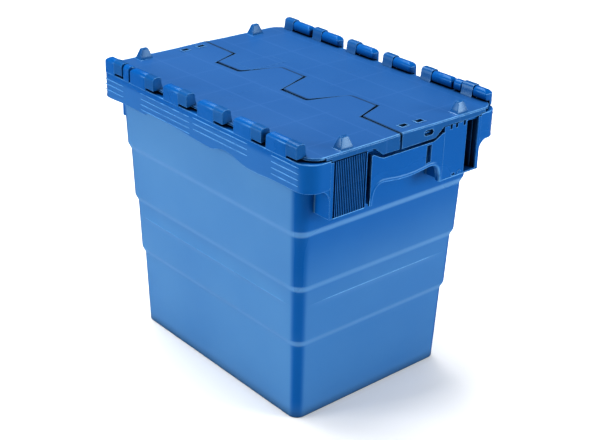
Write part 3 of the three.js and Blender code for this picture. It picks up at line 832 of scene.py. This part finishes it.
def endFlange(end):
    # The turned-down end of the front lid: shallow over the housing, deep behind the handle.
    s = flangeSettings
    last = s["seamPlus"] if end > 0 else s["seamMinus"]
    rise = lidSettings["crownSlope"] * (last - lidSettings["crownStart"])
    outline = [(s["back"], s["top"]), (s["back"], s["rest"]), (s["start"], s["rest"]),
               (s["start"], s["bottom"]), (-s["deepHalf"] - s["slant"], s["bottom"]),
               (-s["deepHalf"], s["deep"]), (last, s["deep"]),
               (last, s["top"] + rise), (lidSettings["crownStart"], s["top"])]
    x0 = s["outer"] - s["thickness"] if end > 0 else -s["outer"]
    if end > 0:
        return prism(outline, x0, x0 + s["thickness"])
    r = s["holeHeight"] / 2
    reach = s["holeLength"] / 2 - r
    hole = np.vstack([arc((s["holeY"] + reach, s["holeZ"]), r, -90, 90, 9),
                      arc((s["holeY"] - reach, s["holeZ"]), r, 90, 270, 9)])
    return prism(outline, x0, x0 + s["thickness"], "x", hole, ((5, 13), (6, 4)))


pipSettings = {
    "x": 188.0, "y": -90.0, "base": (13.0, 19.0), "crown": (5.0, 9.0), "height": 13.2, "corner": 0.7,
    # heights above the lid, and how far each side stands outside the straight taper there
    "levels": (-0.9, 0.0, 0.35, 1.0, 4, 8, 11.8, 12.6, 12.95, 13.2),
    "flare": (0.9, 0.9, 0.35, 0, 0, 0, 0, -0.05, -0.2, -0.5),
}


def pip(x, y):
    # A stacking pip: rounded rectangles stacked in Z, which shrink evenly from base to crown, flare
    # a little at the foot and are drawn in at the top edge.
    s = pipSettings
    level = np.array(s["levels"])
    share = np.clip(level / s["height"], 0, 1)
    angle = np.radians(np.array([0, 22, 45, 68, 90]))
    quarter = np.stack([np.cos(angle), np.sin(angle)], -1)
    turns = np.array([[[1, 0], [0, 1]], [[0, 1], [-1, 0]], [[-1, 0], [0, -1]], [[0, -1], [1, 0]]])
    around = np.concatenate(quarter @ turns)
    signs = np.repeat([[1, 1], [-1, 1], [-1, -1], [1, -1]], 5, axis=0)
    base, crown = np.array(s["base"]), np.array(s["crown"])
    size = (base[None] + (crown - base)[None] * share[:, None]) / 2 + np.array(s["flare"])[:, None]
    corner = s["corner"]
    loops = signs[None] * (size - corner)[:, None] + corner * around[None]
    z = np.broadcast_to((lidSettings["top"] + level)[:, None, None], loops.shape[:2] + (1,))
    return tube(np.concatenate([loops + np.array([x, y]), z], -1))


def makeLidTrim(label, bodyName, side):
    # Both flanges, both pips, the raised lips of the tie slots, the rear lid's flat panel and the
    # crossed ribs underneath.
    s = lidSettings

    def put(name, part, bevel=0.0, smoothTo=35, highlightBias=0.0):
        points, faces = part
        putPiece(label + name, half(points, side), faces, bodyName, "lid_plastic", bodyName, bevel=bevel,
                 smoothTo=smoothTo, highlightBias=highlightBias)

    for end, sign in (("PlusEnd", 1), ("MinusEnd", -1)):
        put("Flange" + end, endFlange(sign), 0.8)
    for end, sign in (("Plus", 1), ("Minus", -1)):
        put("Pip" + end, pip(sign * pipSettings["x"], pipSettings["y"]), smoothTo=28)
    slotX, slotY = s["slotSize"]
    lip = s["slotLip"]
    for number, y in enumerate(s["slotMiddles"], 1):
        outline = aroundPoint(s["slotLine"], y, slotX / 2 + lip, slotY / 2 + lip)
        hole = aroundPoint(s["slotLine"], y, slotX / 2 - 0.1, slotY / 2 - 0.1)
        z = float(lidHeight(np.array(y)))
        put(f"SlotLip{number}", prism(outline, z - 1.2, z + 0.8, "z", hole, ((0, 0), (2, 2))), 0.4)
    if side < 0:
        points, faces = prism(rectangle(*s["panelX"], *s["panelY"]), -1.0, s["panelProud"], "z")
        points[:, 2] += lidHeight(points[:, 1])
        put("Panel", (points, faces), 0.2, highlightBias=-0.6)
    xs, ys, h = s["ribX"], s["ribY"], s["ribHalf"]
    low, high = s["top"] - np.array(s["ribDepth"])
    ribs = [prism(rectangle(x - h, x + h, ys[0], ys[-1]), low, high, "z") for x in xs]
    ribs += [prism(rectangle(xs[0], xs[-1], y - h, y + h), low + 0.05, high, "z") for y in ys]
    put("UnderRibs", gather(ribs), 0.3)


print("lids")
for sideName, side in (("front", 1), ("rear", -1)):
    makeLidPlate(sideName + "LidPlate", sideName + "_lid", side)
    makeLidTrim(sideName, sideName + "_lid", side)


def newGroup(name, inputs, outputs):
    group = bpy.data.node_groups.new(name, "ShaderNodeTree")
    for socketName, kind, value in inputs:
        socket = group.interface.new_socket(name=socketName, in_out="INPUT", socket_type=kind)
        if value is not None:
            socket.default_value = value
    for socketName, kind in outputs:
        group.interface.new_socket(name=socketName, in_out="OUTPUT", socket_type=kind)
    return group, group.nodes.new("NodeGroupInput"), group.nodes.new("NodeGroupOutput")


def mathNode(tree, operation, a, b=None, c=None, clamp=False):
    node = tree.nodes.new("ShaderNodeMath")
    node.operation = operation
    node.use_clamp = clamp
    for socket, value in zip(node.inputs, (a, b, c)):
        if value is None:
            continue
        if isinstance(value, (int, float)):
            socket.default_value = value
        else:
            tree.links.new(value, socket)
    return node.outputs[0]


def mapRange(tree, value, low, high, outLow=0.0, outHigh=1.0):
    node = tree.nodes.new("ShaderNodeMapRange")
    node.interpolation_type = "SMOOTHSTEP"
    tree.links.new(value, node.inputs["Value"])
    for name, number in (("From Min", low), ("From Max", high), ("To Min", outLow), ("To Max", outHigh)):
        node.inputs[name].default_value = number
    return node.outputs[0]


def noiseNode(tree, vector, scale, detail=3.0, roughness=0.5):
    node = tree.nodes.new("ShaderNodeTexNoise")
    tree.links.new(vector, node.inputs["Vector"])
    if isinstance(scale, (int, float)):
        node.inputs["Scale"].default_value = scale
    else:
        tree.links.new(scale, node.inputs["Scale"])
    node.inputs["Detail"].default_value = detail
    node.inputs["Roughness"].default_value = roughness
    return node.outputs["Fac"]


# In the settings of the groups a range is where it starts and where it is full, then the values
# there if they aren't 0 and 1; a noise is its scale, detail and roughness; lengths are in metres.
edgeWearAndHighlightSettings = {
    "samples": 6, "radius": 0.0013, "away": (0.003, 0.07),
    "noise": (90.0, 4.0, 0.65), "broken": (0.3, 0.62, 0.35, 1.0),
}


def makeEdgeWearAndHighlight():
    # Mask of exposed edges, which the material lightens both as worn edges and as painted highlights:
    # 1 - the cosine between the face's normal and the normal rounded over a small radius, broken up by
    # noise so that it isn't a drawn line. The bias below 0 takes the mask off a piece, and the bias
    # above 0 adds a painted highlight line.
    s = edgeWearAndHighlightSettings
    group, entry, leave = newGroup(
        "edgeWearAndHighlight",
        (("Vector", "NodeSocketVector", None), ("Amount", "NodeSocketFloat", 1.0),
         ("Bias", "NodeSocketFloat", 0.0)),
        (("Edge", "NodeSocketFloat"),),
    )
    rounded = group.nodes.new("ShaderNodeBevel")
    rounded.samples = s["samples"]
    rounded.inputs["Radius"].default_value = s["radius"]
    geometry = group.nodes.new("ShaderNodeNewGeometry")
    dot = group.nodes.new("ShaderNodeVectorMath")
    dot.operation = "DOT_PRODUCT"
    group.links.new(rounded.outputs["Normal"], dot.inputs[0])
    group.links.new(geometry.outputs["Normal"], dot.inputs[1])
    away = mathNode(group, "SUBTRACT", 1.0, dot.outputs["Value"])
    edge = mapRange(group, away, *s["away"])
    broken = mapRange(group, noiseNode(group, entry.outputs["Vector"], *s["noise"]), *s["broken"])
    wornAndHighlighted = mathNode(group, "MULTIPLY", edge, broken)
    wornAndHighlighted = mathNode(group, "MULTIPLY", wornAndHighlighted, entry.outputs["Amount"])
    kept = mathNode(group, "ADD", mathNode(group, "MINIMUM", entry.outputs["Bias"], 0.0), 1.0)
    added = mathNode(group, "MAXIMUM", entry.outputs["Bias"], 0.0)
    added = mathNode(group, "MULTIPLY", added, broken)
    wornAndHighlighted = mathNode(group, "ADD", mathNode(group, "MULTIPLY", wornAndHighlighted, kept), added, clamp=True)
    group.links.new(wornAndHighlighted, leave.inputs["Edge"])
    return group


grainSettings = {
    "fine": (4.0, 0.6), "slow": (3.0, 0.45), "fineShare": 0.35, "slowShare": 0.65, "cloud": (0.32, 0.7),
    "stretch": (14, 60, 60), "turn": (0.2, 0.15, 0.5), "scratches": (6.0, 6.0, 0.7), "scuff": (0.62, 0.78),
}


def makePlasticGrain():
    # Fine moulded grain for bump and roughness, plus slow cloudy patches of gloss and colour.
    s = grainSettings
    group, entry, leave = newGroup(
        "plasticGrain",
        (("Vector", "NodeSocketVector", None), ("Grain Scale", "NodeSocketFloat", 900.0),
         ("Cloud Scale", "NodeSocketFloat", 9.0)),
        (("Height", "NodeSocketFloat"), ("Cloud", "NodeSocketFloat"), ("Scuff", "NodeSocketFloat")),
    )
    vector = entry.outputs["Vector"]
    fine = noiseNode(group, vector, entry.outputs["Grain Scale"], *s["fine"])
    slow = noiseNode(group, vector, entry.outputs["Cloud Scale"], *s["slow"])
    wavy = mathNode(group, "ADD", mathNode(group, "MULTIPLY", fine, s["fineShare"]),
                    mathNode(group, "MULTIPLY", slow, s["slowShare"]))
    group.links.new(wavy, leave.inputs["Height"])
    group.links.new(mapRange(group, slow, *s["cloud"]), leave.inputs["Cloud"])
    stretch = group.nodes.new("ShaderNodeMapping")
    stretch.inputs["Scale"].default_value = s["stretch"]
    stretch.inputs["Rotation"].default_value = s["turn"]
    group.links.new(vector, stretch.inputs["Vector"])
    scratches = noiseNode(group, stretch.outputs["Vector"], *s["scratches"])
    group.links.new(mapRange(group, scratches, *s["scuff"]), leave.inputs["Scuff"])
    return group


sinkSettings = {"pitchX": 0.066, "pitchY": 0.044, "width": 0.0016, "shiftX": 0.033, "shiftY": 0.036,
                "outside": (0.028, 0.034)}


def makeSinkMarks():
    # Faint straight lines where ribs run under a lid: 1 on a line, falling to 0 beside it, and none
    # along the middle of the crate.
    s = sinkSettings
    group, entry, leave = newGroup(
        "sinkMarks",
        (("Vector", "NodeSocketVector", None), ("Pitch X", "NodeSocketFloat", s["pitchX"]),
         ("Pitch Y", "NodeSocketFloat", s["pitchY"]), ("Width", "NodeSocketFloat", s["width"])),
        (("Line", "NodeSocketFloat"),),
    )
    split = group.nodes.new("ShaderNodeSeparateXYZ")
    group.links.new(entry.outputs["Vector"], split.inputs[0])
    lines = []
    for axis, pitch, shift in (("X", "Pitch X", s["shiftX"]), ("Y", "Pitch Y", s["shiftY"])):
        size = mathNode(group, "ABSOLUTE", split.outputs[axis]) if axis == "Y" else split.outputs[axis]
        moved = mathNode(group, "SUBTRACT", size, shift)
        halfPitch = mathNode(group, "MULTIPLY", entry.outputs[pitch], 0.5)
        fold = mathNode(group, "PINGPONG", moved, halfPitch)
        near = mathNode(group, "DIVIDE", fold, entry.outputs["Width"])
        lines.append(mathNode(group, "SUBTRACT", 1.0, near, clamp=True))
    outer = mapRange(group, mathNode(group, "ABSOLUTE", split.outputs["Y"]), *s["outside"])
    both = mathNode(group, "MAXIMUM", *lines)
    group.links.new(mathNode(group, "MULTIPLY", both, outer), leave.inputs["Line"])
    return group


creviceSettings = {
    "samples": 8, "distance": 0.022, "shade": (0.85, 0.1), "noise": (40.0, 3.0, 0.5),
    "patchy": (0.3, 0.7, 0.9, 1.0),
}


def makeCreviceShade():
    # Painted shade in tight places: the colour darkens by how much of the near surroundings is closed off.
    s = creviceSettings
    group, entry, leave = newGroup(
        "creviceShade",
        (("Vector", "NodeSocketVector", None), ("Amount", "NodeSocketFloat", 1.0)),
        (("Clear", "NodeSocketFloat"),),
    )
    closed = group.nodes.new("ShaderNodeAmbientOcclusion")
    closed.samples = s["samples"]
    closed.inputs["Distance"].default_value = s["distance"]
    patchy = mapRange(group, noiseNode(group, entry.outputs["Vector"], *s["noise"]), *s["patchy"])
    shade = mapRange(group, closed.outputs["AO"], *s["shade"])
    depth = mathNode(group, "MULTIPLY", mathNode(group, "MULTIPLY", shade, entry.outputs["Amount"]), patchy)
    group.links.new(mathNode(group, "SUBTRACT", 1.0, depth, clamp=True), leave.inputs["Clear"])
    return group


paintedSheenSettings = {
    "turned": (0.62, 0.98), "skirt": (0.311, 0.318, 1.0, 0.32), "endWall": (0.285, 0.15, 0.0, 0.72),
    "belowRim": (0.345, 0.338), "noise": (7.0, 4.0, 0.55), "cloudy": (0.25, 0.75, 0.82, 1.0),
    "beforeHousing": (0.1765, 0.1775, 1.0, 0.0), "aboveWall": (0.314, 0.316),
    "level": (0.93, 0.995), "belowPips": (0.3592, 0.3578),
    "underside": (-0.02, -0.42), "belowSkirt": (0.3, 0.29),
}


def makePaintedSheen():
    # Painted sheen that makes the broad outer walls paler: full on the long walls, growing downwards
    # on the end walls, weaker on the skirt, and left off every corner, where the face is turned both
    # ways. Top brings the same painted sheen to level faces, and the second output is a painted
    # highlight on the soft steps of the wall.
    s = paintedSheenSettings
    group, entry, leave = newGroup(
        "paintedSheen",
        (("Vector", "NodeSocketVector", None), ("Facing", "NodeSocketVector", None),
         ("Walls", "NodeSocketFloat", 1.0), ("Top", "NodeSocketFloat", 0.0)),
        (("PaintedSheen", "NodeSocketFloat"), ("LedgeHighlight", "NodeSocketFloat")),
    )
    facing = group.nodes.new("ShaderNodeSeparateXYZ")
    group.links.new(entry.outputs["Facing"], facing.inputs[0])
    place = group.nodes.new("ShaderNodeSeparateXYZ")
    group.links.new(entry.outputs["Vector"], place.inputs[0])
    z = place.outputs["Z"]
    sizeX = mathNode(group, "ABSOLUTE", facing.outputs["X"])
    sizeY = mathNode(group, "ABSOLUTE", facing.outputs["Y"])
    total = mathNode(group, "ADD", mathNode(group, "ADD", sizeX, sizeY), 0.001)
    longWall = mapRange(group, mathNode(group, "DIVIDE", sizeY, total), *s["turned"])
    endWall = mapRange(group, mathNode(group, "DIVIDE", sizeX, total), *s["turned"])
    onSkirt = mapRange(group, z, *s["skirt"])
    lower = mapRange(group, z, *s["endWall"])
    outer = mapRange(group, z, *s["belowRim"])
    cloudy = mapRange(group, noiseNode(group, entry.outputs["Vector"], *s["noise"]), *s["cloudy"])
    both = mathNode(group, "ADD", mathNode(group, "MULTIPLY", longWall, onSkirt),
                    mathNode(group, "MULTIPLY", endWall, lower), clamp=True)
    bare = mapRange(group, mathNode(group, "ABSOLUTE", place.outputs["X"]), *s["beforeHousing"])
    bare = mathNode(group, "MAXIMUM", bare, mapRange(group, z, *s["aboveWall"]))
    walls = mathNode(group, "MULTIPLY", mathNode(group, "MULTIPLY", both, outer), bare)
    walls = mathNode(group, "MULTIPLY", walls, entry.outputs["Walls"])
    level = mathNode(group, "MULTIPLY", mapRange(group, facing.outputs["Z"], *s["level"]),
                     mapRange(group, z, *s["belowPips"]))
    level = mathNode(group, "MULTIPLY", level, entry.outputs["Top"])
    shown = mathNode(group, "MULTIPLY", mathNode(group, "ADD", walls, level), cloudy, clamp=True)
    group.links.new(shown, leave.inputs["PaintedSheen"])
    ledgeHighlight = mathNode(group, "MULTIPLY", mapRange(group, facing.outputs["Z"], *s["underside"]),
                     mapRange(group, z, *s["belowSkirt"]))
    ledgeHighlight = mathNode(group, "MULTIPLY", ledgeHighlight, entry.outputs["Walls"])
    group.links.new(ledgeHighlight, leave.inputs["LedgeHighlight"])
    return group


paintedSheen = makePaintedSheen()
creviceShade = makeCreviceShade()
edgeWearAndHighlight = makeEdgeWearAndHighlight()
plasticGrain = makePlasticGrain()
sinkMarks = makeSinkMarks()

plasticShared = {
    # The first colour here is painted shade, used along the lid seam, in recesses and in crevices.
    "paintedShadeColour": (0.001, 0.003, 0.008), "ior": 1.5, "paintedShadeDepth": 0.65, "sinkColour": 0.22, "sinkDepth": 0.5,
    "scuffRough": 0.09, "wornRough": -0.08, "bumpDistance": 0.0006,
}
plasticLooks = {
    # In each look, edge is the lighter blue of worn edges and painted highlights, the sheen colour is painted
    # sheen, and the ledge colour is a painted highlight on the wall's steps and also the tint of sink marks.
    "tub_plastic": {
        "name": "tubPolypropylene", "deep": (0.0003, 0.08, 0.295), "pale": (0.0006, 0.09, 0.32),
        "paintedSheen": {"Walls": 1.0, "Top": 0.0}, "paintedSheenColour": (0.066, 0.192, 0.4),
        "ledgeHighlightAndSinkColour": (0.08, 0.212, 0.435), "paintedSheenRough": 0.16,
        "edge": (0.11, 0.31, 0.62), "edgeAmount": 0.85, "rough": (0.25, 0.33), "bump": 0.05,
        "specular": 0.27, "gloss": (0.4, 0.8, 1.0), "creviceShading": 0.95, "sink": False,
    },
    "lid_plastic": {
        "name": "lidPolypropylene", "deep": (0.0006, 0.07, 0.235), "pale": (0.001, 0.077, 0.252),
        "paintedSheen": {"Walls": 0.0, "Top": 0.7}, "paintedSheenColour": (0.02, 0.095, 0.28),
        "ledgeHighlightAndSinkColour": (0.05, 0.15, 0.4), "paintedSheenRough": 0.10,
        "edge": (0.15, 0.37, 0.67), "edgeAmount": 0.85, "rough": (0.29, 0.36), "bump": 0.06,
        "specular": 0.34, "gloss": (0.58, 0.85, 1.0), "creviceShading": 0.95, "sink": True,
    },
    "pin_plastic": {
        "name": "pinPolypropylene", "deep": (0.0006, 0.05, 0.19), "pale": (0.001, 0.065, 0.225),
        "paintedSheen": None, "edge": (0.03, 0.13, 0.35), "edgeAmount": 0.5, "rough": (0.28, 0.36), "bump": 0.04,
        "specular": 0.4, "gloss": (0.5, 0.82, 1.0), "creviceShading": 0.9, "sink": False,
    },
}


def mixColour(tree, factor, first, second):
    node = tree.nodes.new("ShaderNodeMix")
    node.data_type = "RGBA"
    tree.links.new(factor, node.inputs["Factor"])
    for socket, colour in ((node.inputs[6], first), (node.inputs[7], second)):
        if isinstance(colour, tuple):
            socket.default_value = (*colour, 1)
        else:
            tree.links.new(colour, socket)
    return node.outputs[2]


def placeGroup(tree, group, vector, values):
    node = tree.nodes.new("ShaderNodeGroup")
    node.node_tree = group
    tree.links.new(vector, node.inputs["Vector"])
    for name, value in values.items():
        node.inputs[name].default_value = value
    return node


def plastic(look):
    # Body colour with cloudy patches, then painted sheen and painted ledge highlights, worn edges with
    # painted highlights, painted shade along the seam and in recesses, sink marks and painted shade in
    # crevices over it; roughness and bump come from the same grain.
    shared = plasticShared
    material = bpy.data.materials.new(look["name"])
    material.use_nodes = True
    tree = material.node_tree
    shader = tree.nodes["Principled BSDF"]
    coordinates = tree.nodes.new("ShaderNodeTexCoord")
    place = coordinates.outputs["Object"]
    painted = {}
    for label in ("edgeHighlightBias", "paintedShade"):
        reader = tree.nodes.new("ShaderNodeAttribute")
        reader.attribute_name = label
        painted[label] = reader.outputs["Fac"]
    edgeWearAndHighlightNode = placeGroup(tree, edgeWearAndHighlight, place, {"Amount": look["edgeAmount"]})
    tree.links.new(painted["edgeHighlightBias"], edgeWearAndHighlightNode.inputs["Bias"])
    grain = placeGroup(tree, plasticGrain, place, {})
    tint = mixColour(tree, grain.outputs["Cloud"], look["deep"], look["pale"])
    roughness = mapRange(tree, grain.outputs["Cloud"], 0.0, 1.0, *look["rough"])
    height = grain.outputs["Height"]
    if look["paintedSheen"]:
        # painted sheen on broad walls and level tops
        sheenNode = placeGroup(tree, paintedSheen, place, look["paintedSheen"])
        tree.links.new(coordinates.outputs["Normal"], sheenNode.inputs["Facing"])
        tint = mixColour(tree, sheenNode.outputs["PaintedSheen"], tint, look["paintedSheenColour"])
        # painted highlight on the soft steps of the wall
        tint = mixColour(tree, sheenNode.outputs["LedgeHighlight"], tint, look["ledgeHighlightAndSinkColour"])
        softer = mathNode(tree, "MULTIPLY", sheenNode.outputs["PaintedSheen"], look["paintedSheenRough"])
        roughness = mathNode(tree, "ADD", roughness, softer)
    # worn edges and painted highlights: exposed edges mixed towards a lighter blue
    tint = mixColour(tree, edgeWearAndHighlightNode.outputs["Edge"], tint, look["edge"])
    # painted shade along the lid seam and on the recess web and rib
    paintedShadeAmount = mathNode(tree, "MULTIPLY", painted["paintedShade"], shared["paintedShadeDepth"])
    tint = mixColour(tree, mathNode(tree, "SUBTRACT", 1.0, paintedShadeAmount), shared["paintedShadeColour"], tint)
    if look["sink"]:
        lines = placeGroup(tree, sinkMarks, place, {}).outputs["Line"]
        faint = mathNode(tree, "MULTIPLY", lines, shared["sinkColour"])
        tint = mixColour(tree, faint, tint, look["ledgeHighlightAndSinkColour"])
        height = mathNode(tree, "SUBTRACT", height, mathNode(tree, "MULTIPLY", lines, shared["sinkDepth"]))
    # painted shade in crevices and recesses, from ambient occlusion
    creviceShading = placeGroup(tree, creviceShade, place, {"Amount": look["creviceShading"]})
    tint = mixColour(tree, creviceShading.outputs["Clear"], shared["paintedShadeColour"], tint)
    tree.links.new(tint, shader.inputs["Base Color"])
    scuffed = mathNode(tree, "MULTIPLY", grain.outputs["Scuff"], shared["scuffRough"])
    wornAndHighlighted = mathNode(tree, "MULTIPLY", edgeWearAndHighlightNode.outputs["Edge"], shared["wornRough"])
    roughness = mathNode(tree, "ADD", mathNode(tree, "ADD", roughness, scuffed), wornAndHighlighted)
    tree.links.new(roughness, shader.inputs["Roughness"])
    bump = tree.nodes.new("ShaderNodeBump")
    bump.inputs["Strength"].default_value = look["bump"]
    bump.inputs["Distance"].default_value = shared["bumpDistance"]
    tree.links.new(height, bump.inputs["Height"])
    tree.links.new(bump.outputs["Normal"], shader.inputs["Normal"])
    shader.inputs["IOR"].default_value = shared["ior"]
    shader.inputs["Specular IOR Level"].default_value = look["specular"]
    shader.inputs["Specular Tint"].default_value = (*look["gloss"], 1)
    return material


print("materials")
materials = {slotName: plastic(look) for slotName, look in plasticLooks.items()}
for piece in scene.objects:
    if piece.type == "MESH" and "look" in piece:
        piece.data.materials.append(materials[piece["look"]])
for nodeName, node in frame["nodes"].items():
    slotName = "pin_plastic" if "pin" in nodeName else ("tub_plastic" if nodeName == "tub" else "lid_plastic")
    node.data.materials.clear()
    node.data.materials.append(materials[slotName])

print("floor")
reach = studioSettings["floorSize"] / 2
floorMesh = bpy.data.meshes.new("studioFloor")
floorMesh.from_pydata([(-reach, -reach, 0), (reach, -reach, 0), (reach, reach, 0), (-reach, reach, 0)], [],
                      [(0, 1, 2, 3)])
studioFloor = bpy.data.objects.new("studioFloor", floorMesh)
scene.collection.objects.link(studioFloor)
paper = bpy.data.materials.new("paleFloor")
paper.use_nodes = True
paperShader = paper.node_tree.nodes["Principled BSDF"]
paperShader.inputs["Roughness"].default_value = studioSettings["floorRoughness"]
dimInReflections(paper.node_tree, paperShader.inputs["Base Color"], studioSettings["floorColour"],
                 studioSettings["floorInGloss"])
floorMesh.materials.append(paper)
